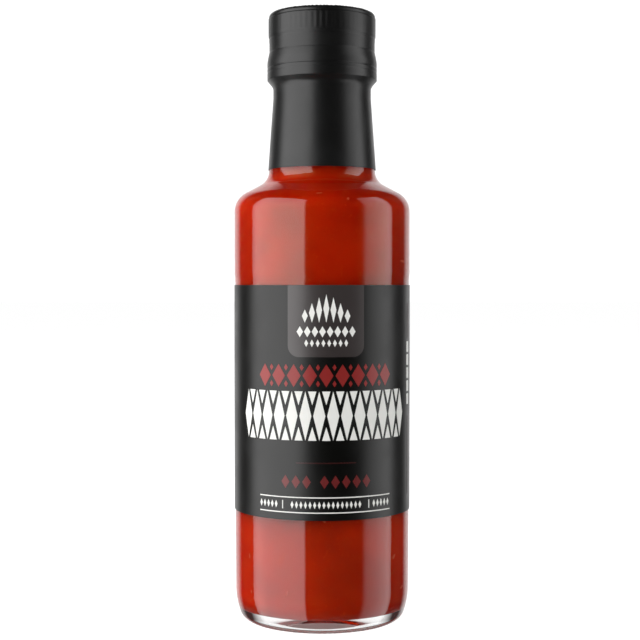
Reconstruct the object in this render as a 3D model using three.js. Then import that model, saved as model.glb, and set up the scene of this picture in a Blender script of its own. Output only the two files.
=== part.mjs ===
import * as THREE from "three";

// A 100 ml hot sauce bottle: a clear round glass bottle full of red sauce, with a black wrap label, a
// screw cap, and a black shrink capsule drawn down over the cap and the neck.
// Millimetres, +Z up. The origin is the centre of the base, on the surface that the bottle stands on.
// The front of the label faces -Y, and the label's two ends nearly meet at the back, at +Y.

// Glass body, a touch slimmer under the label and narrowest at the heel
const SHOULDER_R = 21;
const PANEL_R = 20.86;
const PANEL_LOW_Z = 26;
const PANEL_HIGH_Z = 81;
const PANEL_EDGE = 2;
const BASE_R = 20.75;
const WALL = 2.6;

// Heel: a long easy curve, then a tight round down to the ring that the bottle stands on
const HEEL_SWEEP_R = 18;
const HEEL_CORNER_R = 2.8;
const CONTACT_R = 17.1;
const BEARING_INNER_R = 14.4;
const PUNT_RISE = 1.7;

// Floor of the inside, raised in the middle
const FLOOR_Z = 3.4;
const FLOOR_RISE = 1.1;
const FLOOR_CORNER_R = 3.6;

// Shoulder: a round, a straight slope and a hollow curve that runs into the neck
const SHOULDER_Z = 97.5;
const SHOULDER_SLOPE = 28;
const SHOULDER_ROUND_R = 5;
const NECK_CURVE_R = 4;
const NECK_ROOT_R = 12.7;

// Neck and finish, which the capsule and the cap cover
const NECK_TOP_R = 11.35;
const NECK_TOP_Z = 126;
const FINISH_R = 10.9;
const FINISH_Z = 127.5;
const LIP_Z = 142.7;
const LIP_CHAMFER = 0.7;
const NECK_BORE_R = 8.6;
const MOUTH_R = 8.2;

// Sauce
const FILL_Z = 116;
const FILL_GAP = 0.1;

// Label
const LABEL_INNER_R = 20.92;
const LABEL_OUTER_R = 21.04;
const LABEL_LOW_Z = 26.6;
const LABEL_HIGH_Z = 80;
const LABEL_GAP_WIDTH = 5;

// Capsule: the outside of the film, from the skirt on the neck to the fold on top of the cap
const FILM = 0.15;
const FILM_GAP = 0.05;
const SKIRT_LOW_R = 12.88;
const SKIRT_LOW_Z = 107.45;
const WAIST_R = 11.68;
const WAIST_LOW_Z = 124.4;
const WAIST_HIGH_Z = 125.6;
const BAND_R = 13.1;
const BAND_LOW_Z = 129.3;
const BAND_HIGH_Z = 133.2;
const GROOVE_R = 12.6;
const GROOVE_LOW_Z = 135;
const GROOVE_HIGH_Z = 138.6;
const GRIP_R = 12.83;
const GRIP_LOW_Z = 139.2;
const TOP_Z = 144.9;
const TOP_ROUND_R = 2.3;
const FOLD_R = 8.7;

// Cap, under the film
const CAP_LOW_Z = 128.8;
const CAP_BORE_R = 11.4;
const CAP_CEILING_Z = 142.95;
const CAP_TOP_RECESS_R = 7.6;
const CAP_TOP_RECESS = 0.3;
const CAP_CHAMFER = 0.3;

// Facets round the axis, on each half of the label's two faces, and steps on a curve
const ROUND_FACETS = 48;
const LABEL_FACETS = 42;
const LONG_STEPS = 5;
const CURVE_STEPS = 4;
const EASE_STEPS = 4;

const point = (r, z) => new THREE.Vector2(r, z);
const { degToRad, radToDeg, lerp, mapLinear, smoothstep } = THREE.MathUtils;

// Points along an arc in the profile plane, both ends included. Angles are in degrees from +r towards +z.
function arc(centreR, centreZ, radius, fromDeg, toDeg, steps = CURVE_STEPS) {
  const points = [];
  for (let i = 0; i <= steps; i++) {
    const angle = degToRad(lerp(fromDeg, toDeg, i / steps));
    points.push(point(centreR + radius * Math.cos(angle), centreZ + radius * Math.sin(angle)));
  }
  return points;
}

// An S-shaped change of radius from one height to another, both ends included.
function ease(fromR, fromZ, toR, toZ) {
  const points = [];
  for (let i = 0; i <= EASE_STEPS; i++) {
    const z = lerp(fromZ, toZ, i / EASE_STEPS);
    points.push(point(lerp(fromR, toR, smoothstep(z, fromZ, toZ)), z));
  }
  return points;
}

// A low dome from the axis out to its rim, the rim left out.
function dome(rimR, rimZ, rise) {
  const points = [];
  for (let i = 0; i < CURVE_STEPS; i++) {
    const r = (rimR * i) / CURVE_STEPS;
    points.push(point(r, rimZ + rise * (1 - (r / rimR) ** 2)));
  }
  return points;
}

// The heel, from the contact ring up to the side. The two arcs run into each other without a corner.
function heel() {
  const across = CONTACT_R - (BASE_R - HEEL_SWEEP_R);
  const up = Math.sqrt((HEEL_SWEEP_R - HEEL_CORNER_R) ** 2 - across ** 2);
  const turn = radToDeg(Math.atan2(up, across));
  return [
    ...arc(CONTACT_R, HEEL_CORNER_R, HEEL_CORNER_R, -90, -turn),
    ...arc(BASE_R - HEEL_SWEEP_R, HEEL_CORNER_R + up, HEEL_SWEEP_R, -turn, 0).slice(1),
  ];
}

// The shoulder from the body up to the neck, set in from the outside of the glass.
function shoulder(inset) {
  const slope = degToRad(SHOULDER_SLOPE);
  const across = (radius) => radius * (1 - Math.sin(slope));
  const up = (radius) => radius * Math.cos(slope);
  const run = SHOULDER_R - NECK_ROOT_R - across(SHOULDER_ROUND_R) - across(NECK_CURVE_R);
  const rise = run * Math.tan(slope);
  const neckZ = SHOULDER_Z + up(SHOULDER_ROUND_R) + rise + up(NECK_CURVE_R);
  const turn = 90 - SHOULDER_SLOPE;
  return [
    ...arc(SHOULDER_R - SHOULDER_ROUND_R, SHOULDER_Z, SHOULDER_ROUND_R - inset, 0, turn, LONG_STEPS),
    ...arc(NECK_ROOT_R + NECK_CURVE_R, neckZ, NECK_CURVE_R + inset, 180 + turn, 180, LONG_STEPS),
  ];
}

// The outside of the glass neck, a straight taper from the shoulder to the finish.
function neckRadiusAt(z) {
  const root = shoulder(0).at(-1);
  return mapLinear(z, root.y, NECK_TOP_Z, root.x, NECK_TOP_R);
}

// The inside of the bottle from the middle of its floor to a height in the neck, set in by a gap.
function inside(gap, topZ) {
  const wallR = PANEL_R - WALL;
  const cornerR = wallR - FLOOR_CORNER_R;
  const profile = [
    ...dome(cornerR, FLOOR_Z + gap, FLOOR_RISE),
    ...arc(cornerR, FLOOR_Z + FLOOR_CORNER_R, FLOOR_CORNER_R - gap, -90, 0),
    ...shoulder(WALL + gap),
  ];
  const root = profile.at(-1);
  profile.push(point(mapLinear(topZ, root.y, NECK_TOP_Z, root.x, NECK_BORE_R - gap), topZ));
  return profile;
}

// The closure from the underside of its band to the edge of its flat top, set in from the film's outside.
function closure(inset) {
  const roundR = GRIP_R - TOP_ROUND_R;
  return [
    point(BAND_R - inset, BAND_LOW_Z),
    ...ease(BAND_R - inset, BAND_HIGH_Z, GROOVE_R - inset, GROOVE_LOW_Z),
    point(GROOVE_R - inset, GROOVE_HIGH_Z),
    point(GRIP_R - inset, GRIP_LOW_Z),
    ...arc(roundR, TOP_Z - TOP_ROUND_R, TOP_ROUND_R - inset, 0, 90),
  ];
}

// One face of the film, from its hem on the neck to the edge of the fold on top.
function filmFace(inset) {
  const tuck = ease(WAIST_R - inset, WAIST_HIGH_Z, BAND_R - inset, BAND_LOW_Z);
  return [
    point(WAIST_R - inset, WAIST_LOW_Z),
    ...tuck.slice(0, -1),
    ...closure(inset),
    point(FOLD_R, TOP_Z - inset),
  ];
}

// A body of revolution about +Z from a profile that runs up its outside.
function turned(profile) {
  return new THREE.LatheGeometry(profile, ROUND_FACETS).rotateX(Math.PI / 2);
}

function glassBottle() {
  const outside = [
    ...dome(BEARING_INNER_R, 0, PUNT_RISE),
    point(BEARING_INNER_R, 0),
    ...heel(),
    point(PANEL_R, PANEL_LOW_Z),
    point(PANEL_R, PANEL_HIGH_Z),
    point(SHOULDER_R, PANEL_HIGH_Z + PANEL_EDGE),
    ...shoulder(0),
    point(NECK_TOP_R, NECK_TOP_Z),
    point(FINISH_R, FINISH_Z),
    point(FINISH_R, LIP_Z - LIP_CHAMFER),
    point(FINISH_R - LIP_CHAMFER, LIP_Z),
    point(MOUTH_R + LIP_CHAMFER, LIP_Z),
    point(MOUTH_R, LIP_Z - LIP_CHAMFER),
  ];
  return turned([...outside, ...inside(0, NECK_TOP_Z).reverse()]);
}

function hotSauce() {
  return turned([...inside(FILL_GAP, FILL_Z), point(0, FILL_Z)]);
}

function wrapLabel() {
  const halfGap = LABEL_GAP_WIDTH / 2 / LABEL_OUTER_R;
  const start = Math.PI / 2 + halfGap;
  const end = Math.PI / 2 - halfGap + 2 * Math.PI;
  const section = new THREE.Shape();
  section.absarc(0, 0, LABEL_OUTER_R, start, end, false);
  section.absarc(0, 0, LABEL_INNER_R, end, start, true);
  const depth = LABEL_HIGH_Z - LABEL_LOW_Z;
  const wrap = new THREE.ExtrudeGeometry(section, {
    depth,
    bevelEnabled: false,
    curveSegments: LABEL_FACETS,
  });
  return wrap.translate(0, 0, LABEL_LOW_Z);
}

function shrinkCapsule() {
  const hem = point(SKIRT_LOW_R, SKIRT_LOW_Z);
  const underHem = point(neckRadiusAt(SKIRT_LOW_Z) + FILM_GAP, SKIRT_LOW_Z);
  return turned([hem, ...filmFace(0), ...filmFace(FILM).reverse(), underHem, hem]);
}

function screwCap() {
  const inset = FILM + FILM_GAP;
  const topZ = TOP_Z - inset;
  const side = closure(inset);
  const rim = point(side[0].x - CAP_CHAMFER, CAP_LOW_Z);
  return turned([
    rim,
    ...side,
    point(CAP_TOP_RECESS_R, topZ),
    point(CAP_TOP_RECESS_R - CAP_CHAMFER, topZ - CAP_TOP_RECESS),
    point(0, topZ - CAP_TOP_RECESS),
    point(0, CAP_CEILING_Z),
    point(CAP_BORE_R, CAP_CEILING_Z),
    point(CAP_BORE_R, CAP_LOW_Z),
    rim,
  ]);
}

const glass = new THREE.MeshStandardMaterial({
  color: 0xeef2f0,
  roughness: 0.03,
  metalness: 0,
  transparent: true,
  opacity: 0.3,
});
const sauce = new THREE.MeshStandardMaterial({ color: 0x9c1c05, roughness: 0.35, metalness: 0 });
const labelFilm = new THREE.MeshStandardMaterial({ color: 0x1d1d1c, roughness: 0.45, metalness: 0 });
const capsuleFilm = new THREE.MeshStandardMaterial({ color: 0x19191a, roughness: 0.4, metalness: 0 });
const capPlastic = new THREE.MeshStandardMaterial({ color: 0x141414, roughness: 0.5, metalness: 0 });

const pieces = [
  ["glass_bottle", glassBottle(), glass],
  ["hot_sauce", hotSauce(), sauce],
  ["wrap_label", wrapLabel(), labelFilm],
  ["screw_cap", screwCap(), capPlastic],
  ["shrink_capsule", shrinkCapsule(), capsuleFilm],
];

const bottle = new THREE.Group();
for (const [name, geometry, material] of pieces) {
  const mesh = new THREE.Mesh(geometry, material);
  mesh.name = name;
  bottle.add(mesh);
}

export default bottle;
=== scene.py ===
"""The looks of a small round bottle of hot sauce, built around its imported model.

Clear glass, red sauce, a black wrap label with a printed front, and a black shrink capsule over the cap.
Metres, +Z up. The bottle stands on z = 0 with its axis on z, and the front of its label faces -Y.
"""

import logging
import math
from collections.abc import Iterable, Sequence
from dataclasses import dataclass
from enum import Enum
from functools import cache, reduce

import bmesh
import bpy
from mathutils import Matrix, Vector


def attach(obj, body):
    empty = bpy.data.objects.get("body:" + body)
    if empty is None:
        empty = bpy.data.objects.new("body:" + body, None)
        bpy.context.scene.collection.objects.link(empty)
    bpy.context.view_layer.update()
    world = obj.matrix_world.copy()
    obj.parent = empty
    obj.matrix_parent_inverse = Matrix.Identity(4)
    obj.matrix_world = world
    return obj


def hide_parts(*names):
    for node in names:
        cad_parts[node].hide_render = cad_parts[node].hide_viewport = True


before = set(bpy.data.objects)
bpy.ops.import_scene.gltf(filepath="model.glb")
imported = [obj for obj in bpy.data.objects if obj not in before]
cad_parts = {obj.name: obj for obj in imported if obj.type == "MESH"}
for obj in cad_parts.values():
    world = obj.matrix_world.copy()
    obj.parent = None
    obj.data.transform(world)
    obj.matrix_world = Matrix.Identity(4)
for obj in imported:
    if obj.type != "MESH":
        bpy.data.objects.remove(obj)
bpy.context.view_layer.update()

MM = 0.001
BODY = "root"
LOG = logging.getLogger("hot_sauce_bottle")

Point = tuple[float, float]
Outline = list[Point]
Colour = tuple[float, float, float]
Piece = bpy.types.Object
Material = bpy.types.Material
Socket = bpy.types.NodeSocket
Inputs = dict[str | int, object]

GEOMETRY = "NodeSocketGeometry"
MATERIAL = "NodeSocketMaterial"
COLOUR = "NodeSocketColor"
FLOAT = "NodeSocketFloat"
SOCKET_BY_TYPE = {int: "NodeSocketInt", float: FLOAT, tuple: COLOUR}


# Node trees


class NodeWriter:
    """Adds nodes to one tree, sets their inputs and joins them."""

    def __init__(self, tree: bpy.types.NodeTree) -> None:
        """Keeps the tree that it writes in."""
        self.tree = tree

    def feed(self, socket: Socket, value: object) -> None:
        """Sets or links one input.

        Args:
            socket: the input.
            value: a plain value or an output socket.
        """
        if isinstance(value, Socket):
            self.tree.links.new(value, socket)
        else:
            socket.default_value = value

    def add(self, kind: str, inputs: Inputs | None = None, **settings: object) -> bpy.types.Node:
        """Adds a node.

        Args:
            kind: the node's type name.
            inputs: values or sockets by input name or number.
            **settings: the node's own properties.

        Returns:
            The new node.
        """
        node = self.tree.nodes.new(kind)
        for name, value in settings.items():
            setattr(node, name, value)
        for key, value in (inputs or {}).items():
            self.feed(node.inputs[key], value)
        return node

    def get(self, kind: str, inputs: Inputs | None = None, **settings: object) -> Socket:
        """Adds a node and returns its first output."""
        return self.add(kind, inputs, **settings).outputs[0]

    def math(self, operation: str, *values: object, clamp: bool = False) -> Socket:
        """Returns the result of a Math node, held between 0 and 1 where clamp says so."""
        return self.get("ShaderNodeMath", dict(enumerate(values)), operation=operation, use_clamp=clamp)

    def chain(self, operation: str, values: Sequence[object]) -> Socket:
        """Returns two or more values joined by one Math operation, from the left."""
        return reduce(lambda result, value: self.math(operation, result, value), values)

    def times(self, *values: object) -> Socket:
        """Returns the product of its values."""
        return self.chain("MULTIPLY", values)

    def plus(self, *values: object) -> Socket:
        """Returns the sum of its values."""
        return self.chain("ADD", values)

    def minus(self, value: object, less: object) -> Socket:
        """Returns a value less another."""
        return self.math("SUBTRACT", value, less)

    def vector_math(self, operation: str, *values: object) -> Socket:
        """Returns the vector that a Vector Math node makes."""
        return self.get("ShaderNodeVectorMath", dict(enumerate(values)), operation=operation)

    def scaled(self, vector: object, factor: object) -> Socket:
        """Returns a vector times a factor."""
        return self.get("ShaderNodeVectorMath", {0: vector, "Scale": factor}, operation="SCALE")

    def split(self, vector: object) -> bpy.types.NodeOutputs:
        """Returns the X, Y and Z outputs of a vector."""
        return self.add("ShaderNodeSeparateXYZ", {0: vector}).outputs

    def join(self, x: object, y: object, z: object) -> Socket:
        """Returns the vector made of three values."""
        return self.get("ShaderNodeCombineXYZ", {0: x, 1: y, 2: z})

    def off_axis(self, x: object, y: object) -> Socket:
        """Returns how far a point is from the z axis."""
        return self.math("SQRT", self.plus(self.times(x, x), self.times(y, y)))

    def ramp(self, value: object, low: object, high: object, start: float = 0.0, end: float = 1.0) -> Socket:
        """Returns a smooth step from start to end as value goes from low to high."""
        inputs = {"Value": value, "From Min": low, "From Max": high, "To Min": start, "To Max": end}
        return self.get("ShaderNodeMapRange", inputs, interpolation_type="SMOOTHSTEP")

    def window(self, value: object, low: object, high: object, blur: float) -> Socket:
        """Returns a mask that is 1 between low and high, blurred by this much to both sides of each."""
        rising = self.ramp(value, self.minus(low, blur), self.plus(low, blur))
        return self.times(rising, self.ramp(value, self.minus(high, blur), self.plus(high, blur), 1.0, 0.0))

    def noise(self, vector: object, scale: object, detail: float = 2.0) -> Socket:
        """Returns a Noise texture about 0.5, with its scale per metre and its number of octaves."""
        return self.get("ShaderNodeTexNoise", {"Vector": vector, "Scale": scale, "Detail": detail})


class Group(NodeWriter):
    """A new node group. Its own inputs are in given and its outputs in result."""

    def __init__(self, name: str, kind: str, inputs: dict[str, object], outputs: dict[str, str]) -> None:
        """Makes the group with its named sockets.

        Args:
            name: the group's name.
            kind: GeometryNodeTree or ShaderNodeTree.
            inputs: the first value of each input, or its socket type where it has none.
            outputs: the socket type of each output.
        """
        super().__init__(bpy.data.node_groups.new(name, kind))
        for in_out, sockets in (("INPUT", inputs), ("OUTPUT", outputs)):
            for title, first in sockets.items():
                typed = isinstance(first, str)
                socket_type = first if typed else SOCKET_BY_TYPE[type(first)]
                socket = self.tree.interface.new_socket(name=title, in_out=in_out, socket_type=socket_type)
                if not typed:
                    socket.default_value = first
        self.given = self.add("NodeGroupInput").outputs
        self.result = self.add("NodeGroupOutput").inputs


class GeometryTree(Group):
    """A Geometry Nodes tree that reshapes a piece and leaves it in one finish."""

    def __init__(self, name: str, sizes: dict[str, float]) -> None:
        """Makes the tree with its named inputs.

        Args:
            name: the tree's name.
            sizes: the first value of each size by name, whole for a count.
        """
        inputs = {"Mesh": GEOMETRY, **sizes, "Finish": MATERIAL}
        super().__init__(name, "GeometryNodeTree", inputs, {"Mesh": GEOMETRY})
        self.tree.is_modifier = True

    def position(self) -> Socket:
        """Returns a point's place."""
        return self.get("GeometryNodeInputPosition")

    def radial_terms(self) -> tuple[Socket, Socket, Socket]:
        """Returns a point's angle about the axis, its distance from it and its height."""
        x, y, z = self.split(self.position())
        return self.math("ARCTAN2", y, x), self.off_axis(x, y), z

    def shift(self, offset: Socket) -> Socket:
        """Returns the given mesh with its points moved by an offset."""
        return self.get("GeometryNodeSetPosition", {"Geometry": self.given["Mesh"], "Offset": offset})

    def end(self, geometry: Socket) -> None:
        """Ends the tree, with instances made real and in the given finish."""
        whole = self.get("GeometryNodeRealizeInstances", {0: geometry})
        dressed = self.get("GeometryNodeSetMaterial", {"Geometry": whole, "Material": self.given["Finish"]})
        self.feed(self.result[0], dressed)

    def run(self, piece: Piece, sizes: dict[str, float], finish: Material) -> Piece:
        """Runs the tree on a piece and keeps the result as its plain mesh.

        Args:
            piece: the object whose mesh the tree starts from.
            sizes: the sizes by name.
            finish: the piece's material.

        Returns:
            The same object with its new mesh and no modifier.
        """
        modifier = piece.modifiers.new(self.tree.name, "NODES")
        modifier.node_group = self.tree
        identifiers = {s.name: s.identifier for s in self.tree.interface.items_tree if s.in_out == "INPUT"}
        for name, value in {**sizes, "Finish": finish}.items():
            modifier[identifiers[name]] = value
        bpy.context.view_layer.update()
        depsgraph = bpy.context.evaluated_depsgraph_get()
        mesh = bpy.data.meshes.new_from_object(piece.evaluated_get(depsgraph), depsgraph=depsgraph)
        piece.modifiers.remove(modifier)
        mesh.materials.clear()
        mesh.materials.append(finish)
        mesh.polygons.foreach_set("material_index", [0] * len(mesh.polygons))
        start = piece.data
        piece.data = mesh
        mesh.name = piece.name
        bpy.data.meshes.remove(start)
        return piece


# Outlines and meshes


def arc(centre: Point, radius: float, start: float, end: float, steps: int) -> Outline:
    """Returns points along an arc from one angle to another, in degrees, both ends included."""
    angles = [math.radians(start + (end - start) * i / steps) for i in range(steps + 1)]
    return [(centre[0] + radius * math.cos(a), centre[1] + radius * math.sin(a)) for a in angles]


def line(start: Point, end: Point, steps: int) -> Outline:
    """Returns the points that cut a straight stretch into steps, both ends included."""
    return [tuple(s + (e - s) * i / steps for s, e in zip(start, end)) for i in range(steps + 1)]


def ease(start: Point, end: Point, steps: int) -> Outline:
    """Returns the points of an S-shaped change of radius between two heights, both ends included."""
    across, up = end[0] - start[0], end[1] - start[1]
    shares = [i / steps for i in range(steps + 1)]
    return [(start[0] + across * t * t * (3 - 2 * t), start[1] + up * t) for t in shares]


def dome(rim: Point, rise: float, steps: int) -> Outline:
    """Returns the points of a low dome from the axis out to its rim, which is left out."""
    return [(rim[0] * i / steps, rim[1] + rise * (1 - (i / steps) ** 2)) for i in range(steps)]


def rectangle(width: float, height: float, centre: Point = (0.0, 0.0)) -> Outline:
    """Returns a plain rectangle's outline."""
    u, v = width / 2, height / 2
    return [(centre[0] + a, centre[1] + b) for a, b in ((-u, -v), (u, -v), (u, v), (-u, v))]


def soft_rectangle(width: float, height: float, radius: float, centre: Point = (0.0, 0.0)) -> Outline:
    """Makes a rectangle's outline with round corners.

    Args:
        width: its width.
        height: its height.
        radius: the corners' radius.
        centre: its middle.

    Returns:
        The outline.
    """
    u, v = width / 2 - radius, height / 2 - radius
    points = []
    for a, b, start in ((u, v, 0), (-u, v, 90), (-u, -v, 180), (u, -v, 270)):
        points += arc((centre[0] + a, centre[1] + b), radius, start, start + 90, 6)
    return points


def lozenge(width: float, height: float, centre: Point = (0.0, 0.0)) -> Outline:
    """Returns an upright lozenge's outline."""
    u, v = width / 2, height / 2
    return [(centre[0] + a, centre[1] + b) for a, b in ((0, -v), (u, 0), (0, v), (-u, 0))]


def wedge(width: float, height: float, tip: Point) -> Outline:
    """Returns a triangle with its point at tip, pointing down where its height is above zero."""
    return [tip, (tip[0] + width / 2, tip[1] + height), (tip[0] - width / 2, tip[1] + height)]


def new_object(name: str, data: bpy.types.ID) -> Piece:
    """Links a new object for a mesh, light or camera, at the origin."""
    made = bpy.data.objects.new(name, data)
    bpy.context.scene.collection.objects.link(made)
    return made


def from_bmesh(name: str, shape: bmesh.types.BMesh) -> Piece:
    """Makes a piece from a bmesh, which is freed."""
    mesh = bpy.data.meshes.new(name)
    shape.to_mesh(mesh)
    shape.free()
    return new_object(name, mesh)


def turned(name: str, profile: Outline, segments: int) -> Piece:
    """Turns a profile about the z axis.

    Args:
        name: the new object's name.
        profile: radius and height of each point, in millimetres. It starts and ends on the axis, or its two
            ends are joined.
        segments: how many faces go round.

    Returns:
        The new object, closed and facing out.
    """
    shape = bmesh.new()
    rings = []
    angles = [2 * math.pi * i / segments for i in range(segments)]
    for r, z in profile:
        if r < 1e-4:
            rings.append([shape.verts.new((0.0, 0.0, z * MM))] * segments)
            continue
        rings.append([shape.verts.new((r * MM * math.cos(a), r * MM * math.sin(a), z * MM)) for a in angles])
    pairs = list(zip(rings, rings[1:]))
    if profile[0][0] > 1e-4:
        pairs.append((rings[-1], rings[0]))
    for low, high in pairs:
        for i in range(segments):
            j = (i + 1) % segments
            corners = dict.fromkeys((low[i], low[j], high[j], high[i]))
            if len(corners) > 2:
                shape.faces.new(list(corners))
    bmesh.ops.recalc_face_normals(shape, faces=shape.faces[:])
    return from_bmesh(name, shape)


def flat_art(name: str, outlines: Iterable[Outline], slice_width: float) -> Piece:
    """Lays flat shapes in the XZ plane, facing -Y, cut into narrow upright slices so that they can bend.

    Args:
        name: the new object's name.
        outlines: each shape's outline, across and up, in millimetres.
        slice_width: how wide a slice may be.

    Returns:
        The new object.
    """
    shape = bmesh.new()
    for outline in outlines:
        face = shape.faces.new([shape.verts.new((u * MM, 0.0, v * MM)) for u, v in outline])
        face.normal_update()
        if face.normal.y > 0:
            face.normal_flip()
    step = slice_width * MM
    across = [v.co.x for v in shape.verts]
    for i in range(math.floor(min(across) / step) + 1, math.ceil(max(across) / step)):
        geometry = shape.verts[:] + shape.edges[:] + shape.faces[:]
        bmesh.ops.bisect_plane(shape, geom=geometry, plane_co=(i * step, 0, 0), plane_no=(1, 0, 0))
    return from_bmesh(name, shape)


def joined(name: str, parts: Sequence[Piece]) -> Piece:
    """Joins pieces of one material into one.

    Args:
        name: the new piece's name.
        parts: the pieces, which are removed.

    Returns:
        The new piece.
    """
    shape = bmesh.new()
    for part in parts:
        shape.from_mesh(part.data)
    piece = from_bmesh(name, shape)
    piece.data.materials.append(parts[0].data.materials[0])
    for part in parts:
        old = part.data
        bpy.data.objects.remove(part)
        bpy.data.meshes.remove(old)
    return piece


def place(piece: Piece, node: str, sharp_over: float = 40.0) -> None:
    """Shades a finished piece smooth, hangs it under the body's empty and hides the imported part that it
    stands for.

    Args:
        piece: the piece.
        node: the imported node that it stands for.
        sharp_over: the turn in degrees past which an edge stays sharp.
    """
    piece.data.shade_smooth()
    piece.data.set_sharp_from_angle(angle=math.radians(sharp_over))
    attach(piece, BODY)
    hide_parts(node)


# Trees that make what repeats or follows a surface


def wrap_tree() -> GeometryTree:
    """Makes the tree that repeats flat art in a row and wraps it round the bottle as a thin closed film.

    Returns:
        The tree.
    """
    sizes = {"Count": 1, "Pitch": 0.0, "Radius": 0.0, "Thickness": 0.0, "Turn": 0.0}
    w = GeometryTree("wrap_in_a_row", sizes)
    given = w.given
    first = w.times(given["Pitch"], w.times(w.minus(given["Count"], 1.0), -0.5))
    start, step = w.join(first, 0.0, 0.0), w.join(given["Pitch"], 0.0, 0.0)
    row = w.get("GeometryNodeMeshLine", {"Count": given["Count"], "Start Location": start, "Offset": step})
    copies = w.get("GeometryNodeInstanceOnPoints", {"Points": row, "Instance": given["Mesh"]})
    flat = w.get("GeometryNodeRealizeInstances", {0: copies})
    x, _, z = w.split(w.position())
    angle = w.plus(w.math("DIVIDE", x, given["Radius"]), given["Turn"])
    east = w.times(w.math("SINE", angle), given["Radius"])
    north = w.times(w.math("COSINE", angle), w.times(given["Radius"], -1.0))
    bent = w.get("GeometryNodeSetPosition", {"Geometry": flat, "Position": w.join(east, north, z)})
    outwards = {"Mesh": bent, "Offset Scale": given["Thickness"], "Individual": False}
    both = w.add("GeometryNodeJoinGeometry")
    w.feed(both.inputs[0], w.get("GeometryNodeFlipFaces", {0: bent}))
    w.feed(both.inputs[0], w.get("GeometryNodeExtrudeMesh", outwards))
    w.end(w.get("GeometryNodeMergeByDistance", {"Geometry": both.outputs[0], "Distance": 0.001 * MM}))
    return w


def foot_rib_tree(sizes: dict[str, float]) -> GeometryTree:
    """Makes the tree that cuts fine radial ribs into the ring that the glass stands on.

    Args:
        sizes: its sizes by name.

    Returns:
        The tree.
    """
    w = GeometryTree("foot_ribs", sizes)
    given = w.given
    angle, distance, z = w.radial_terms()
    valley = w.ramp(w.math("COSINE", w.times(angle, given["Ribs"])), -0.4, 0.6)
    on_ring = w.window(distance, given["Inner Radius"], given["Outer Radius"], 0.25 * MM)
    low = w.ramp(z, w.times(given["Top"], 0.5), given["Top"], 1.0, 0.0)
    lift = w.times(w.times(valley, given["Depth"]), w.times(on_ring, low))
    w.end(w.shift(w.join(0.0, 0.0, lift)))
    return w


def film_tree(sizes: dict[str, float]) -> GeometryTree:
    """Makes the tree that presses the cap's ribs, the shrink's ripples and the fold's crimps into the film.

    Args:
        sizes: its sizes by name.

    Returns:
        The tree.
    """
    w = GeometryTree("shrink_film", sizes)
    given = w.given
    angle, distance, z = w.radial_terms()
    position = w.position()

    def stretched(upward: float) -> Socket:
        """Returns the place with its height scaled, so that a pattern runs up the film."""
        return w.vector_math("MULTIPLY", position, (1.0, 1.0, upward))

    uneven = w.ramp(w.noise(stretched(0.1), 110.0), 0.4, 0.65, 0.05, 1.0)
    on_grip = w.window(z, given["Grip Low"], given["Grip High"], 0.7 * MM)
    rib_wave = w.math("COSINE", w.times(angle, given["Ribs"]))
    ribs = w.times(w.times(rib_wave, on_grip), w.times(given["Rib Depth"], uneven))
    ripple = w.times(w.minus(w.noise(stretched(0.35), 170.0, 1.0), 0.5), given["Ripple"])
    past_back = w.minus(angle, math.pi / 2)
    lap = w.times(w.ramp(past_back, 0.0, 0.02), w.ramp(past_back, 0.16, 0.2, 1.0, 0.0))
    seam = w.times(lap, given["Seam Height"])

    inner = w.ramp(distance, given["Crimp Radius"], w.minus(given["Crimp Radius"], 1.6 * MM))
    on_top = w.ramp(z, w.minus(given["Fold Height"], 0.6 * MM), given["Fold Height"])
    wander = w.times(w.noise(stretched(0.0), 330.0), 9.0)
    crimp_wave = w.math("SINE", w.plus(w.times(angle, given["Crimps"]), wander))
    crimps = w.times(w.times(crimp_wave, inner), w.times(on_top, given["Crimp Height"]))
    ragged = w.minus(w.noise(position, 700.0, 3.0), 0.5)
    edge = w.times(w.times(ragged, inner), w.times(on_top, 1.6 * MM))

    outward = w.vector_math("NORMALIZE", stretched(0.0))
    push = w.scaled(outward, w.plus(ribs, ripple, seam, edge))
    w.end(w.shift(w.vector_math("ADD", push, w.join(0.0, 0.0, crimps))))
    return w


def fleck_tree(sizes: dict[str, float]) -> GeometryTree:
    """Makes the tree that scatters small flat flecks over the side of the sauce.

    Args:
        sizes: its sizes by name.

    Returns:
        The tree.
    """
    w = GeometryTree("sauce_flecks", sizes)
    given = w.given
    _, distance, z = w.radial_terms()
    covered = w.times(w.math("GREATER_THAN", z, given["Low"]), w.math("LESS_THAN", z, given["High"]))
    outer = w.math("GREATER_THAN", distance, given["Least Radius"])
    shown = w.times(outer, w.minus(1.0, covered))
    where = {"Mesh": given["Mesh"], "Selection": shown, "Density": given["Density"], "Seed": given["Seed"]}
    points = w.add("GeometryNodeDistributePointsOnFaces", where).outputs
    fleck = w.get("GeometryNodeMeshIcoSphere", {"Radius": 0.5, "Subdivisions": 2})
    shares = {"Min": (0.35, 0.5, 0.8), "Max": (1.3, 1.2, 1.0), "Seed": given["Seed"]}
    spread = w.get("FunctionNodeRandomValue", shares, data_type="FLOAT_VECTOR")
    size = w.join(given["Length"], given["Width"], given["Thickness"])
    spin = w.add("FunctionNodeRandomValue", {"Max": math.tau, "Seed": given["Seed"]}, data_type="FLOAT")
    turn = w.get("FunctionNodeEulerToRotation", {0: w.join(0.0, 0.0, spin.outputs[1])})
    lying = {0: points["Rotation"], 1: turn}
    facing = w.get("FunctionNodeRotateRotation", lying, rotation_space="LOCAL")
    scale = w.vector_math("MULTIPLY", size, spread)
    copies = {"Points": points[0], "Instance": fleck, "Rotation": facing, "Scale": scale}
    w.end(w.get("GeometryNodeInstanceOnPoints", copies))
    return w


# Finishes


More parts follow.
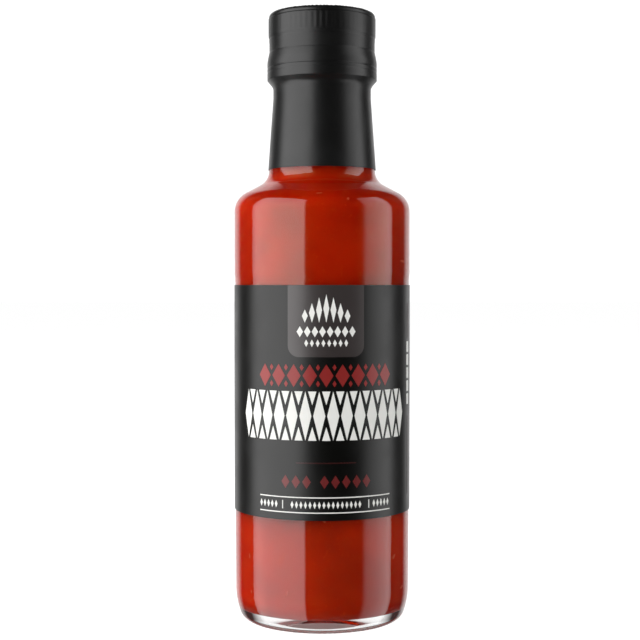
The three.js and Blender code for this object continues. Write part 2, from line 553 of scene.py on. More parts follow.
class MaterialWriter(NodeWriter):
    """Writes one new material."""

    def __init__(self, name: str) -> None:
        """Makes an empty material."""
        self.material = bpy.data.materials.new(name)
        self.material.use_nodes = True
        self.material.node_tree.nodes.clear()
        super().__init__(self.material.node_tree)

    def group(self, tree: bpy.types.NodeTree, inputs: Inputs) -> bpy.types.NodeOutputs:
        """Places a shared group with this material's own values and returns its outputs."""
        return self.add("ShaderNodeGroup", inputs, node_tree=tree).outputs

    def blend(self, factor: Socket, first: object, second: object) -> Socket:
        """Returns a blend of two colours."""
        return self.add("ShaderNodeMix", {"Factor": factor, 6: first, 7: second}, data_type="RGBA").outputs[2]

    def bump(self, height: Socket) -> Socket:
        """Returns the normal that a height in metres gives."""
        return self.get("ShaderNodeBump", {"Height": height, "Distance": 1.0})

    def finish(self, shader: Socket) -> Material:
        """Ends the tree in a shader and returns the material."""
        self.add("ShaderNodeOutputMaterial", {"Surface": shader})
        return self.material


def object_point(w: NodeWriter) -> Socket:
    """Returns the object coordinates of the shaded point."""
    return w.add("ShaderNodeTexCoord").outputs["Object"]


def rgba(colour: Colour) -> tuple[float, float, float, float]:
    """Returns a colour with full alpha."""
    return (*colour, 1.0)


@cache
def drift_group() -> bpy.types.NodeTree:
    """Makes the shared group that lets a colour drift a little lighter and darker over a surface.

    Returns:
        The group, which is made once.
    """
    inputs = {"Colour": (0.5, 0.5, 0.5, 1.0), "Amount": 0.1, "Scale": 90.0}
    w = Group("tone_drift", "ShaderNodeTree", inputs, {"Colour": COLOUR})
    wide = w.noise(object_point(w), w.given["Scale"], 3.0)
    swing = w.times(w.minus(wide, 0.5), w.times(w.given["Amount"], 2.0))
    w.feed(w.result[0], w.scaled(w.given["Colour"], w.plus(swing, 1.0)))
    return w.tree


@cache
def handling_group() -> bpy.types.NodeTree:
    """Makes the shared group for handled surfaces, with fine grain, faint scuffs and patches of dulled gloss.

    Returns:
        The group, which is made once.
    """
    inputs = {
        "Roughness": 0.3,
        "Dulling": 0.05,
        "Grain Scale": 2500.0,
        "Grain Height": 0.002 * MM,
        "Scuff Height": 0.001 * MM,
    }
    w = Group("handling", "ShaderNodeTree", inputs, {"Roughness": FLOAT, "Height": FLOAT})
    point = object_point(w)
    patches = w.ramp(w.noise(point, 130.0, 3.0), 0.42, 0.62)
    stretched = w.vector_math("MULTIPLY", point, (1.0, 1.0, 0.09))
    scuffs = w.ramp(w.noise(stretched, 1900.0), 0.62, 0.72)
    dulled = w.times(w.plus(patches, w.times(scuffs, 0.6)), w.given["Dulling"])
    grain = w.times(w.noise(point, w.given["Grain Scale"]), w.given["Grain Height"])
    scratch = w.times(scuffs, patches, w.given["Scuff Height"])
    w.feed(w.result["Roughness"], w.plus(w.given["Roughness"], dulled))
    w.feed(w.result["Height"], w.minus(grain, scratch))
    return w.tree


@dataclass(frozen=True)
class CoatedFinish:
    """An opaque finish with a drift of tone, patchy gloss and fine grain."""

    name: str
    colour: Colour
    roughness: float
    specular: float = 0.5
    drift: float = 0.08
    dulling: float = 0.04

    def make(self) -> Material:
        """Makes the material.

        Returns:
            The material.
        """
        w = MaterialWriter(self.name)
        toned = w.group(drift_group(), {"Colour": rgba(self.colour), "Amount": self.drift})
        worn = w.group(handling_group(), {"Roughness": self.roughness, "Dulling": self.dulling})
        inputs = {
            "Base Color": toned[0],
            "Roughness": worn["Roughness"],
            "Specular IOR Level": self.specular,
            "Normal": w.bump(worn["Height"]),
        }
        return w.finish(w.get("ShaderNodeBsdfPrincipled", inputs))


@dataclass(frozen=True)
class GlassFinish:
    """Clear bottle glass that lets light through to what stands inside it. Heights in millimetres."""

    name: str = "glass_clear"
    colour: Colour = (0.985, 0.992, 0.988)
    ior: float = 1.5
    roughness: float = 0.012
    dulling: float = 0.01
    scuff_height: float = 0.0003
    ripple_scale: float = 55.0
    ripple_height: float = 0.012
    frost_height: float = 2.0
    frost_radius: float = 18.3
    frost_roughness: float = 0.6

    def make(self) -> Material:
        """Makes the material.

        Returns:
            The material.
        """
        w = MaterialWriter(self.name)
        handled = {
            "Roughness": self.roughness,
            "Dulling": self.dulling,
            "Grain Height": 0.0,
            "Scuff Height": self.scuff_height * MM,
        }
        worn = w.group(handling_group(), handled)
        x, y, z = w.split(object_point(w))
        edge = self.frost_radius * MM
        below = w.ramp(z, self.frost_height * MM, (self.frost_height + 0.3) * MM, 1.0, 0.0)
        within = w.ramp(w.off_axis(x, y), edge, edge + 0.8 * MM, self.frost_roughness, 0.0)
        ripple = w.times(w.noise(object_point(w), self.ripple_scale, 1.0), self.ripple_height * MM)
        inputs = {
            "Base Color": rgba(self.colour),
            "Roughness": w.plus(worn["Roughness"], w.times(below, within)),
            "IOR": self.ior,
            "Transmission Weight": 1.0,
            "Normal": w.bump(w.plus(ripple, worn["Height"])),
        }
        glass = w.get("ShaderNodeBsdfPrincipled", inputs)
        clear = w.get("ShaderNodeBsdfTransparent", {"Color": rgba(self.colour)})
        paths = w.add("ShaderNodeLightPath").outputs
        lit = w.get("ShaderNodeMixShader", {0: paths["Is Diffuse Ray"], 1: glass, 2: clear})
        return w.finish(w.get("ShaderNodeMixShader", {0: paths["Is Shadow Ray"], 1: lit, 2: clear}))


@dataclass(frozen=True)
class SauceFinish:
    """Thick red sauce, with wide soft clouds, fine pulp and thin paler smears."""

    name: str = "sauce_body"
    colour: Colour = (0.428, 0.0142, 0.0007)
    pale: Colour = (0.53, 0.044, 0.004)
    deep: Colour = (0.325, 0.0085, 0.0004)
    drift: float = 0.05
    roughness: float = 0.12
    pulp_height: float = 0.01
    specular: float = 0.17
    specular_tint: Colour = (0.5, 1.0, 0.42)
    bleed: tuple[float, float, float] = (4.5, 0.7, 0.3)

    def make(self) -> Material:
        """Makes the material.

        Returns:
            The material.
        """
        w = MaterialWriter(self.name)
        point = object_point(w)
        clouds = w.ramp(w.noise(point, 70.0, 3.0), 0.35, 0.7)
        body = w.blend(clouds, rgba(self.colour), rgba(self.deep))
        pulp = w.ramp(w.noise(point, 1500.0, 3.0), 0.6, 0.78)
        upright = w.vector_math("MULTIPLY", point, (1.0, 1.0, 0.45))
        smears = w.ramp(w.noise(upright, 330.0, 4.0), 0.66, 0.8)
        lift = w.math("ADD", w.times(pulp, 0.35), w.times(smears, 0.5), clamp=True)
        mixed = w.blend(lift, body, rgba(self.pale))
        inputs = {
            "Base Color": w.group(drift_group(), {"Colour": mixed, "Amount": self.drift})[0],
            "Roughness": w.plus(w.times(pulp, 0.1), self.roughness),
            "Specular IOR Level": self.specular,
            "Specular Tint": rgba(self.specular_tint),
            "Subsurface Weight": 1.0,
            "Subsurface Radius": self.bleed,
            "Subsurface Scale": MM,
            "Normal": w.bump(w.times(pulp, self.pulp_height * MM)),
        }
        return w.finish(w.get("ShaderNodeBsdfPrincipled", inputs))


@dataclass(frozen=True)
class InkFinish(CoatedFinish):
    """A printed ink, even in its gloss."""

    roughness: float = 0.35
    dulling: float = 0.03


class Ink(Enum):
    """The label's inks, each with its finish and how far in millimetres its film stands off the label."""

    GREY = (InkFinish("ink_grey", (0.028, 0.0215, 0.021), specular=0.72), 0.03)
    WHITE = (InkFinish("ink_white", (0.86, 0.86, 0.825), 0.4, specular=0.2, drift=0.02), 0.05)
    RED = (InkFinish("ink_red", (0.245, 0.013, 0.011)), 0.05)
    DULL_RED = (InkFinish("ink_dull_red", (0.13, 0.01, 0.01)), 0.05)
    DARK_RED = (InkFinish("ink_dark_red", (0.03, 0.004, 0.0035)), 0.04)


# The object's parts


@dataclass
class GlassBottle:
    """The clear glass body. Sizes in millimetres, heights from the surface that it stands on."""

    shoulder_r: float = 21.0
    panel_r: float = 20.86
    panel_low: float = 26.0
    panel_high: float = 81.0
    panel_edge: float = 2.0
    base_r: float = 20.75
    wall: float = 2.6
    heel_sweep: float = 18.0
    heel_corner: float = 2.8
    contact_r: float = 17.1
    bearing_r: float = 14.4
    punt_rise: float = 1.7
    floor_z: float = 3.4
    floor_rise: float = 1.1
    floor_corner: float = 3.6
    shoulder_z: float = 97.5
    shoulder_slope: float = 28.0
    shoulder_round: float = 5.0
    neck_curve: float = 4.0
    neck_root_r: float = 12.7
    neck_top: Point = (11.35, 126.0)
    finish_r: float = 10.9
    finish_z: float = 127.5
    lip_z: float = 142.7
    lip_chamfer: float = 0.7
    bore_r: float = 8.6
    mouth_r: float = 8.2
    foot_ribs: int = 96
    rib_depth: float = 0.16
    rib_low_r: float = 15.0
    rib_high_r: float = 18.0
    rib_top: float = 1.2
    segments: int = 384
    finish: GlassFinish = GlassFinish()

    def heel(self) -> Outline:
        """Makes the heel, from the ring that the bottle stands on up to its side.

        Returns:
            Its profile.
        """
        across = self.contact_r - (self.base_r - self.heel_sweep)
        up = math.sqrt((self.heel_sweep - self.heel_corner) ** 2 - across**2)
        turn = math.degrees(math.atan2(up, across))
        tight = arc((self.contact_r, self.heel_corner), self.heel_corner, -90, -turn, 10)
        easy = arc((self.base_r - self.heel_sweep, self.heel_corner + up), self.heel_sweep, -turn, 0, 16)
        return tight + easy[1:]

    def shoulder(self, depth: float) -> Outline:
        """Makes the shoulder from the body up to the neck.

        Args:
            depth: how far it is set in from the outside of the glass.

        Returns:
            Its profile.
        """
        slope = math.radians(self.shoulder_slope)
        curves = self.shoulder_round + self.neck_curve
        run = self.shoulder_r - self.neck_root_r - curves * (1 - math.sin(slope))
        neck_z = self.shoulder_z + run * math.tan(slope) + curves * math.cos(slope)
        turn = 90 - self.shoulder_slope
        round_centre = (self.shoulder_r - self.shoulder_round, self.shoulder_z)
        curve_centre = (self.neck_root_r + self.neck_curve, neck_z)
        return [
            *arc(round_centre, self.shoulder_round - depth, 0, turn, 14),
            *arc(curve_centre, self.neck_curve + depth, 180 + turn, 180, 14),
        ]

    def neck_radius(self, z: float) -> float:
        """Returns the outer radius of the neck at a height."""
        root_r, root_z = self.shoulder(0)[-1]
        return root_r + (self.neck_top[0] - root_r) * (z - root_z) / (self.neck_top[1] - root_z)

    def inside(self, gap: float, top: float) -> Outline:
        """Makes the hollow from the middle of its floor up to a height in the neck.

        Args:
            gap: how far it is set in from the glass, or into the glass where it is negative.
            top: the height where it ends.

        Returns:
            Its profile.
        """
        corner_r = self.panel_r - self.wall - self.floor_corner
        floor = dome((corner_r, self.floor_z + gap), self.floor_rise, 12)
        corner = arc((corner_r, self.floor_z + self.floor_corner), self.floor_corner - gap, -90, 0, 10)
        shoulder = self.shoulder(self.wall + gap)
        root_r, root_z = shoulder[-1]
        share = (top - root_z) / (self.neck_top[1] - root_z)
        return floor + corner + shoulder + [(root_r + (self.bore_r - gap - root_r) * share, top)]

    def outside(self) -> Outline:
        """Returns the outside's profile, from the middle of the punt to the inner edge of the lip."""
        panel_end = (self.shoulder_r, self.panel_high + self.panel_edge)
        return [
            *dome((self.bearing_r, 0.0), self.punt_rise, 12),
            *line((self.bearing_r, 0.0), (self.contact_r, 0.0), 9)[:-1],
            *self.heel(),
            (self.panel_r, self.panel_low),
            *ease((self.panel_r, self.panel_high), panel_end, 6),
            *self.shoulder(0),
            self.neck_top,
            (self.finish_r, self.finish_z),
            (self.finish_r, self.lip_z - self.lip_chamfer),
            (self.finish_r - self.lip_chamfer, self.lip_z),
            (self.mouth_r + self.lip_chamfer, self.lip_z),
            (self.mouth_r, self.lip_z - self.lip_chamfer),
        ]

    def build(self) -> list[Piece]:
        """Makes the glass piece.

        Returns:
            The pieces.
        """
        profile = self.outside() + self.inside(0.0, self.neck_top[1])[::-1]
        piece = turned("bottle_glass", profile, self.segments)
        sizes = {
            "Ribs": self.foot_ribs,
            "Depth": self.rib_depth * MM,
            "Inner Radius": self.rib_low_r * MM,
            "Outer Radius": self.rib_high_r * MM,
            "Top": self.rib_top * MM,
        }
        foot_rib_tree(sizes).run(piece, sizes, self.finish.make())
        place(piece, "glass_bottle")
        return [piece]


@dataclass
class SauceFill:
    """The sauce in the bottle and the flecks that show in it. Sizes in millimetres."""

    bottle: GlassBottle
    fill_z: float = 116.0
    into_wall: float = 0.15
    meniscus: float = 0.8
    meniscus_width: float = 2.2
    fleck_size: tuple[float, float, float] = (1.9, 0.65, 0.2)
    fleck_density: float = 6000.0
    fleck_seed: int = 11
    fleck_least_r: float = 8.0
    behind_label: Point = (27.5, 79.0)
    segments: int = 256
    finish: SauceFinish = SauceFinish()
    fleck_finish: CoatedFinish = CoatedFinish("sauce_fleck", (0.5, 0.055, 0.022), 0.4, 0.1, drift=0.3)

    def build(self) -> list[Piece]:
        """Makes the fill and its flecks.

        Returns:
            The pieces.
        """
        wetted = self.bottle.inside(-self.into_wall, self.fill_z)
        rim_r = wetted[-1][0]
        level = self.fill_z - self.meniscus
        surface = ease((rim_r, self.fill_z), (rim_r - self.meniscus_width, level), 6)[1:]
        fill = turned("sauce_fill", wetted + surface + [(0.0, level)], self.segments)
        fill.data.materials.append(self.finish.make())
        place(fill, "hot_sauce")

        flecks = new_object("sauce_flecks", fill.data.copy())
        flecks.data.materials.clear()
        length, width, thickness = (size * MM for size in self.fleck_size)
        sizes = {
            "Density": self.fleck_density,
            "Seed": self.fleck_seed,
            "Length": length,
            "Width": width,
            "Thickness": thickness,
            "Low": self.behind_label[0] * MM,
            "High": self.behind_label[1] * MM,
            "Least Radius": self.fleck_least_r * MM,
        }
        fleck_tree(sizes).run(flecks, sizes, self.fleck_finish.make())
        place(flecks, "hot_sauce", sharp_over=60.0)
        return [fill, flecks]


@dataclass(frozen=True)
class PrintRow:
    """One printed motif, repeated side by side.

    u is the middle of the row across the label from the middle of its front, z is the height that the motif's
    own zero stands at, and pitch is the step from one copy to the next, all in millimetres.
    """

    ink: Ink
    motif: Sequence[Outline]
    u: float
    z: float
    count: int = 1
    pitch: float = 0.0


@dataclass
class WrapLabel:
    """The wrap label and its print. Sizes in millimetres."""

    inner_r: float = 20.92
    outer_r: float = 21.04
    low: float = 26.6
    high: float = 80.0
    gap: float = 5.0
    corner: float = 1.2
    turn: float = 2.5
    slice_width: float = 0.5
    sink: float = 0.02
    finish: CoatedFinish = CoatedFinish("label_coating", (0.0012, 0.0011, 0.0008), 0.32, 0.41, drift=0.15)

    def tab(self) -> list[PrintRow]:
        """Makes the grey tab at the top and what it holds.

        Returns:
            Its rows.
        """
        left, right = arc((-6.3, 66.3), 2.6, 180, 270, 8), arc((6.3, 66.3), 2.6, 270, 360, 8)
        heights = (3.0, 4.4, 5.7, 6.4, 5.7, 4.4, 3.0)
        fan = [lozenge(1.35, height, ((i - 3) * 1.62, height / 2)) for i, height in enumerate(heights)]
        return [
            PrintRow(Ink.GREY, [[(-8.9, self.high), *left, *right, (8.9, self.high)]], 0.0, 0.0),
            PrintRow(Ink.WHITE, fan, 0.0, 71.5),
            PrintRow(Ink.WHITE, [lozenge(1.5, 2.5)], 0.0, 69.45, 8, 1.72),
            PrintRow(Ink.WHITE, [lozenge(0.9, 1.7)], 0.0, 66.85, 8, 1.3),
        ]

    def headline(self) -> list[PrintRow]:
        """Makes the two broad friezes across the middle, one red and one white.

        Returns:
            Their rows.
        """
        tall, step, deep = 11.15, 3.17, 3.1
        tip = tall / 2 - deep
        notches = [wedge(1.9, deep, (step / 2, tip)), wedge(1.9, -deep, (step / 2, -tip))]
        studs = [lozenge(0.95, 1.5, (0.0, 1.85)), lozenge(0.95, 1.5, (0.0, -1.85))]
        return [
            PrintRow(Ink.RED, [lozenge(3.3, 5.2)], 0.0, 59.5, 9, 3.74),
            PrintRow(Ink.RED, studs, 0.0, 59.5, 8, 3.74),
            PrintRow(Ink.WHITE, [lozenge(2.75, tall)], 0.0, 50.38, 14, step),
            PrintRow(Ink.WHITE, notches, -step / 2, 50.38, 13, step),
        ]

    def foot(self) -> list[PrintRow]:
        """Makes the small rows and rules under the friezes.

        Returns:
            The rows.
        """
        small = [lozenge(0.72, 1.7)]
        large = [lozenge(2.0, 3.0)]
        rule = [rectangle(33.0, 0.25)]
        return [
            PrintRow(Ink.DARK_RED, [rectangle(13.9, 0.25)], 0.0, 39.7),
            PrintRow(Ink.DULL_RED, large, -7.0, 35.4, 3, 2.5),
            PrintRow(Ink.DULL_RED, large, 4.6, 35.4, 5, 2.5),
            PrintRow(Ink.WHITE, rule, 0.0, 31.85),
            PrintRow(Ink.WHITE, rule, 0.0, 28.4),
            PrintRow(Ink.WHITE, small, -14.0, 30.15, 5, 1.05),
            PrintRow(Ink.WHITE, small, 0.0, 30.15, 16, 1.05),
            PrintRow(Ink.WHITE, small, 13.7, 30.15, 5, 1.05),
            PrintRow(Ink.WHITE, [rectangle(0.22, 1.9)], 0.0, 30.15, 2, 20.4),
        ]

    def sides(self) -> list[PrintRow]:
        """Makes what stands to the right of the front and on the two back panels.

        Returns:
            The rows.
        """
        dashes = [soft_rectangle(1.6, 2.55, 0.3, (0.0, i * 3.08)) for i in range(5)]
        widths = (15, 17, 16, 17, 14, 17, 16, 9)
        bars = [soft_rectangle(width, 0.7, 0.3, (width / 2, -1.9 * i)) for i, width in enumerate(widths)]
        box = [rectangle(17.0, 0.3, (0.0, v)) for v in (10.0, -10.0)]
        box += [rectangle(0.3, 20.3, (u, 0.0)) for u in (-8.5, 8.5)]
        rules = [rectangle(15.0, 0.22, (0.0, 7.0 - 2.4 * i)) for i in range(7)]
        side_rule = [rectangle(0.3, 18.5), rectangle(0.3, 8.3, (0.0, 31.6))]
        large = [lozenge(2.0, 3.0)]
        return [
            PrintRow(Ink.WHITE, dashes, 25.75, 53.15),
            PrintRow(Ink.DARK_RED, side_rule, 25.9, 39.95),
            PrintRow(Ink.GREY, bars, -59.0, 72.0),
            PrintRow(Ink.GREY, bars[:5], -59.0, 52.5),
            PrintRow(Ink.WHITE, box, 47.5, 60.0),
            PrintRow(Ink.WHITE, rules, 47.5, 60.0),
            PrintRow(Ink.DULL_RED, large, 47.5, 42.0, 5, 3.2),
            PrintRow(Ink.DULL_RED, large, -50.5, 38.0, 5, 3.2),
        ]

    def print_row(self, tree: GeometryTree, row: PrintRow, thickness: float, finish: Material) -> Piece:
        """Makes one row of print as a thin film on the label.

        Args:
            tree: the wrapping tree.
            row: the row.
            thickness: how thick the film is.
            finish: its material.

        Returns:
            The film.
        """
        outlines = [[(u, v + row.z) for u, v in outline] for outline in row.motif]
        sizes = {
            "Count": row.count,
            "Pitch": row.pitch * MM,
            "Radius": (self.outer_r - self.sink) * MM,
            "Thickness": thickness * MM,
            "Turn": math.radians(self.turn) + row.u / self.outer_r,
        }
        return tree.run(flat_art("print_part", outlines, self.slice_width), sizes, finish)

    def build(self) -> list[Piece]:
        """Makes the label and one piece for each ink.

        Returns:
            The pieces.
        """
        tree = wrap_tree()
        width = 2 * math.pi * self.inner_r - self.gap
        middle = (0.0, (self.low + self.high) / 2)
        sheet = soft_rectangle(width, self.high - self.low, self.corner, middle)
        sizes = {"Radius": self.inner_r * MM, "Thickness": (self.outer_r - self.inner_r) * MM}
        label = tree.run(flat_art("label_wrap", [sheet], self.slice_width), sizes, self.finish.make())
        place(label, "wrap_label")

        rows = self.tab() + self.headline() + self.foot() + self.sides()
        pieces = [label]
        for ink in Ink:
            finish, stands_off = ink.value
            material = finish.make()
            thickness = self.sink + stands_off
            parts = [self.print_row(tree, row, thickness, material) for row in rows if row.ink is ink]
            piece = joined("print_" + ink.name.lower(), parts)
            place(piece, "wrap_label")
            pieces.append(piece)
        return pieces


@dataclass
class Capsule:
    """The shrink film over the cap and neck, and the cap under it. Sizes in millimetres.

    Each ring is a height, how far the film is pressed out there, and the ring's width.
    """

    bottle: GlassBottle
    film: float = 0.15
    film_gap: float = 0.05
    hem: Point = (12.88, 107.45)
    waist_r: float = 11.68
    waist_low: float = 124.4
    waist_high: float = 126.4
    flare_knee: float = 0.6
    band_r: float = 13.1
    band_low: float = 128.75
    band_high: float = 132.5
    groove_r: float = 12.6
    groove_low: float = 136.0
    groove_high: float = 137.4
    grip_r: float = 12.8
    grip_low: float = 139.4
    crease_r: float = 12.62
    crease_z: float = 143.45
    crease_low: float = 0.16
    crease_high: float = 0.1
    lip_r: float = 12.68
    lip_top: float = 144.6
    lip_round: float = 0.9
    top: float = 144.9
    fold_r: float = 8.7
    cap_low: float = 128.8
    cap_top: float = 144.4
    cap_round: float = 1.2
    cap_bore: float = 11.4
    cap_ceiling: float = 142.95
    cap_foot_inset: float = 0.3
    recess_r: float = 7.6
    recess: float = 0.3
    ring_r: float = 2.4
    ring_round: float = 0.25
    ribs: int = 60
    rib_depth: float = 0.04
    ribs_below_crease: float = 0.3
    crimps: int = 84
    crimp_height: float = 0.12
    ripple: float = 0.05
    seam_height: float = 0.09
    segments: int = 360
    cap_segments: int = 192
    fine_step: float = 0.07
    coarse_step: float = 0.22
    film_finish: CoatedFinish = CoatedFinish("film_satin", (0.003, 0.003, 0.003), 0.33, 0.46, 0.15, 0.05)
    cap_finish: CoatedFinish = CoatedFinish("cap_moulded", (0.008, 0.008, 0.008), 0.42, 0.5, 0.1, 0.06)
    rings: tuple[tuple[float, float, float], ...] = (
        (138.6, -0.09, 0.28),
        (135.4, -0.06, 0.26),
        (131.6, -0.11, 0.13),
        (130.6, -0.05, 0.15),
    )

    def side(self, depth: float) -> Outline:
        """Returns the closure's side from under its band up to its grip, this deep under the film's face."""
        return [
            (self.band_r - depth, self.band_low),
            *ease((self.band_r - depth, self.band_high), (self.groove_r - depth, self.groove_low), 10),
            *ease((self.groove_r - depth, self.groove_high), (self.grip_r - depth, self.grip_low), 6),
        ]

    def flare(self, depth: float) -> Outline:
        """Makes the flare from the waist out to the band, curved up to its knee and straight from there.

        Args:
            depth: how far it is set in from the outside of the film.

        Returns:
            Its profile, without the band's end.
        """
        knee = self.flare_knee
        slope = (self.band_r - self.waist_r) / (1 - knee / 2)
        points = []
        for share, height in line((0.0, self.waist_high), (1.0, self.band_low), 24)[:-1]:
            rise = share**2 / (2 * knee) if share < knee else share - knee / 2
            points.append((self.waist_r - depth + slope * rise, height))
        return points

    def face(self, depth: float) -> Outline:
        """Makes one face of the film, from above its hem to the edge of the fold on top.

        Args:
            depth: how far it is set in from the outside.

        Returns:
            Its profile.
        """
        lip = (self.lip_r - self.lip_round, self.lip_top - self.lip_round)
        return [
            (self.waist_r - depth, self.waist_low),
            *self.flare(depth),
            *self.side(depth),
            (self.grip_r - depth, self.crease_z - self.crease_low),
            (self.crease_r - depth, self.crease_z),
            (self.lip_r - depth, self.crease_z + self.crease_high),
            *arc(lip, self.lip_round - depth, 0, 90, 6),
            (self.fold_r, self.top - depth),
        ]

    def ringed(self, profile: Outline) -> Outline:
        """Cuts a profile finely and presses the shallow rings into it.

        Args:
            profile: the film's face.

        Returns:
            The finer profile.
        """
        moved = []
        for start, end in zip(profile, profile[1:]):
            if end[1] <= self.waist_high:
                moved += line(start, end, max(1, round(math.dist(start, end))))[:-1]
                continue
            step = self.coarse_step
            for r, z in line(start, end, max(1, round(math.dist(start, end) / self.fine_step)))[:-1]:
                offset = sum(out * math.exp(-(((z - at) / width) ** 2)) for at, out, width in self.rings)
                step += self.fine_step
                if step > self.coarse_step or abs(offset) > 0.003:
                    moved.append((r + offset, z))
                    step = 0.0
        return [*moved, profile[-1]]

    def build_film(self) -> Piece:
        """Makes the film.

        Returns:
            The piece.
        """
        outer = self.ringed([self.hem, *self.face(0.0)])
        under_hem = (self.bottle.neck_radius(self.hem[1]) + self.film_gap, self.hem[1])
        inner = [under_hem, *self.face(self.film)]
        piece = turned("capsule_film", outer + inner[::-1], self.segments)
        sizes = {
            "Ribs": self.ribs,
            "Rib Depth": self.rib_depth * MM,
            "Grip Low": self.grip_low * MM,
            "Grip High": (self.crease_z - self.ribs_below_crease) * MM,
            "Crimps": self.crimps,
            "Crimp Height": self.crimp_height * MM,
            "Crimp Radius": self.lip_r * MM,
            "Fold Height": self.lip_top * MM,
            "Ripple": self.ripple * MM,
            "Seam Height": self.seam_height * MM,
        }
        film_tree(sizes).run(piece, sizes, self.film_finish.make())
        place(piece, "shrink_capsule", sharp_over=50.0)
        return piece

    def build_cap(self) -> Piece:
        """Makes the cap under the film.

        Returns:
            The piece.
        """
        top = self.cap_top
        floor = top - self.recess
        side = self.side(self.film + self.film_gap)
        corner = (side[-1][0] - self.cap_round, top - self.cap_round)
        profile = [
            (self.cap_bore, self.cap_low),
            (side[0][0] - self.cap_foot_inset, self.cap_low),
            *side,
            *arc(corner, self.cap_round, 0, 90, 10),
            (self.recess_r, top),
            *arc((self.recess_r, floor), self.recess, 90, 180, 4)[1:],
            (self.ring_r, floor),
            *arc((self.ring_r, floor), self.ring_round, 0, 180, 6)[1:-1],
            (0.0, floor),
            (0.0, self.cap_ceiling),
            (self.cap_bore, self.cap_ceiling),
        ]
        piece = turned("cap_shell", profile, self.cap_segments)
        piece.data.materials.append(self.cap_finish.make())
        place(piece, "screw_cap")
        return piece

    def build(self) -> list[Piece]:
        """Returns the cap and the film."""
        return [self.build_cap(), self.build_film()]


# The studio


@dataclass
class Softbox:
    """One flat light beside the bottle. Sizes in metres, angles in degrees.

    azimuth is measured from the camera's side towards +X. The radiance runs from near_radiance at the end
    nearest to the camera to far_radiance at the other end. near_fade is the share that fades in there, and
    far_fade the share in which the other end falls to half.
    """

    name: str
    azimuth: float
    distance: float
    width: float
    low: float
    high: float
    near_radiance: float
    far_radiance: float
    near_fade: float
    far_fade: float = 0.15
    mirrored: bool = True

    def build(self) -> None:
        """Makes the light, which reflections show only where it is mirrored."""
        height = self.high - self.low
        data = bpy.data.lights.new(self.name, "AREA")
        data.shape = "RECTANGLE"
        data.size = self.width
        data.size_y = height
        data.energy = math.pi * self.width * height
        data.use_nodes = True
        w = NodeWriter(data.node_tree)
        across = w.split(w.add("ShaderNodeNewGeometry").outputs["Parametric"])[0]
        share = w.minus(1.0, across) if self.azimuth < 0 else across
        along = {0: share, "To Min": self.near_radiance, "To Max": self.far_radiance}
        fade = w.times(w.ramp(share, 0.0, self.near_fade), w.ramp(share, 1.0 - self.far_fade, 1.0, 1.0, 0.5))
        strength = w.times(w.get("ShaderNodeMapRange", along), fade)
        w.feed(data.node_tree.nodes["Emission"].inputs["Strength"], strength)
        light = new_object(self.name, data)
        angle = math.radians(self.azimuth)
        centre = Vector((math.sin(angle), -math.cos(angle), 0.0)) * self.distance
        centre.z = (self.high + self.low) / 2
        light.location = centre
        light.rotation_euler = (math.pi / 2, 0.0, angle)
        light.visible_camera = False
        light.visible_glossy = self.mirrored
        light.visible_transmission = self.mirrored


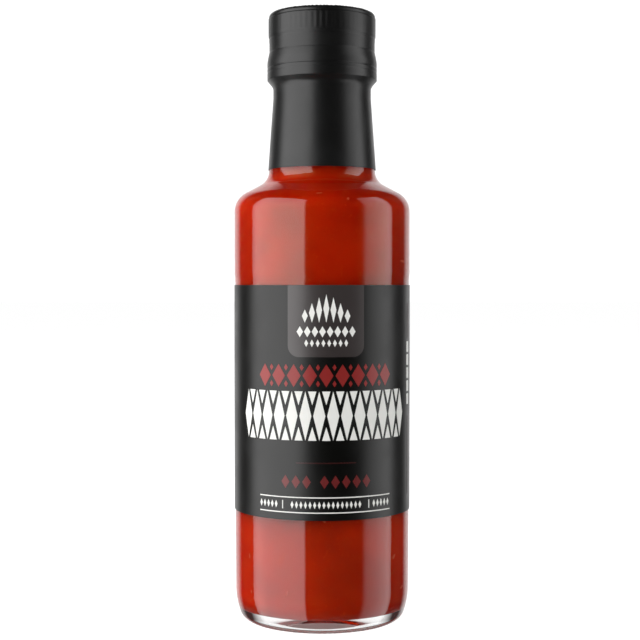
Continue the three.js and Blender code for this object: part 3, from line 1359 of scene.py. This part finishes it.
@dataclass
class Studio:
    """The camera, lights, backdrop and floor. Sizes in metres, angles in degrees."""

    camera_place: tuple[float, float, float] = (-0.0005, -0.3326, 0.0802)
    camera_tilt: float = 1.488
    lens: float = 77.81
    background_strength: float = 1.15
    floor_size: float = 12.0
    floor_tone: float = 0.55
    floor_glow: float = 0.95
    # Each light's azimuth, distance, width, low and high end, near and far radiance, and near fade.
    lights: tuple[Softbox, ...] = (
        Softbox("softbox_left", -60.8, 0.5, 0.858, -0.52, 0.65, 2.9, 3.25, 0.07),
        Softbox("softbox_right", 76.4, 0.6, 0.565, -0.58, 0.75, 0.75, 3.0, 0.18),
        Softbox("fill_front", 28.0, 1.2, 1.6, -0.3, 0.9, 0.74, 0.74, 0.02, mirrored=False),
        Softbox("kicker_left", -110.0, 0.6, 0.5, -0.2, 0.7, 1.8, 1.8, 0.02, mirrored=False),
    )

    def build_camera(self) -> None:
        """Makes the camera."""
        data = bpy.data.cameras.new("camera")
        data.lens = self.lens
        data.sensor_width = 36.0
        data.clip_start = 0.01
        data.clip_end = 50.0
        camera = new_object("camera", data)
        camera.location = self.camera_place
        camera.rotation_euler = (math.radians(90 - self.camera_tilt), 0.0, 0.0)
        bpy.context.scene.camera = camera

    def build_world(self) -> None:
        """Makes the surroundings, white to the camera and behind the bottle and dark elsewhere."""
        world = bpy.data.worlds.new("surroundings")
        world.use_nodes = True
        bpy.context.scene.world = world
        w = NodeWriter(world.node_tree)
        background = world.node_tree.nodes["Background"]
        direction = w.split(w.add("ShaderNodeTexCoord").outputs["Generated"])
        behind = w.ramp(direction["Y"], 0.66, 0.84)
        beside = w.ramp(direction["Y"], 0.1, 0.4, 0.005, 0.028)
        level = w.math("MAXIMUM", behind, beside)
        seen = w.add("ShaderNodeLightPath").outputs["Is Camera Ray"]
        strength = w.math("MAXIMUM", level, w.times(seen, self.background_strength))
        w.feed(background.inputs["Color"], (1.0, 1.0, 1.0, 1.0))
        w.feed(background.inputs["Strength"], strength)

    def build_floor(self) -> None:
        """Makes the pale floor, which a surface's first reflection leaves out."""
        half = self.floor_size / 2
        corners = [(-half, -half, 0.0), (half, -half, 0.0), (half, half, 0.0), (-half, half, 0.0)]
        mesh = bpy.data.meshes.new("floor")
        mesh.from_pydata(corners, [], [(0, 1, 2, 3)])
        floor = new_object("floor", mesh)
        w = MaterialWriter("floor_white")
        paths = w.add("ShaderNodeLightPath").outputs
        paper = w.get("ShaderNodeBsdfDiffuse", {"Color": (*[self.floor_tone] * 3, 1.0)})
        glow = w.get("ShaderNodeEmission", {"Strength": w.times(paths["Is Camera Ray"], self.floor_glow)})
        both = w.get("ShaderNodeAddShader", {0: paper, 1: glow})
        hidden = w.times(paths["Is Glossy Ray"], w.math("LESS_THAN", paths["Ray Depth"], 1.5))
        clear = w.get("ShaderNodeBsdfTransparent")
        mesh.materials.append(w.finish(w.get("ShaderNodeMixShader", {0: hidden, 1: both, 2: clear})))
        floor.visible_shadow = False

    def set_view(self) -> None:
        """Sets how light becomes picture values."""
        scene = bpy.context.scene
        scene.view_settings.view_transform = "Standard"
        scene.view_settings.look = "None"
        scene.cycles.use_denoising = True
        scene.cycles.max_bounces = 24
        scene.cycles.transmission_bounces = 20
        scene.cycles.transparent_max_bounces = 16

    def build(self) -> None:
        """Makes the camera, the lights and the surroundings. The floor comes last, when the bottle stands."""
        self.build_camera()
        for light in self.lights:
            light.build()
        self.build_world()
        self.set_view()


def main() -> None:
    """Builds the studio and the bottle."""
    logging.basicConfig(level=logging.INFO, format="%(name)s: %(message)s")
    studio = Studio()
    studio.build()

    bottle = GlassBottle()
    for part in (bottle, SauceFill(bottle), WrapLabel(), Capsule(bottle)):
        for piece in part.build():
            LOG.info("%s: %d faces", piece.name, len(piece.data.polygons))
    studio.build_floor()


if __name__ == "__main__":
    main()
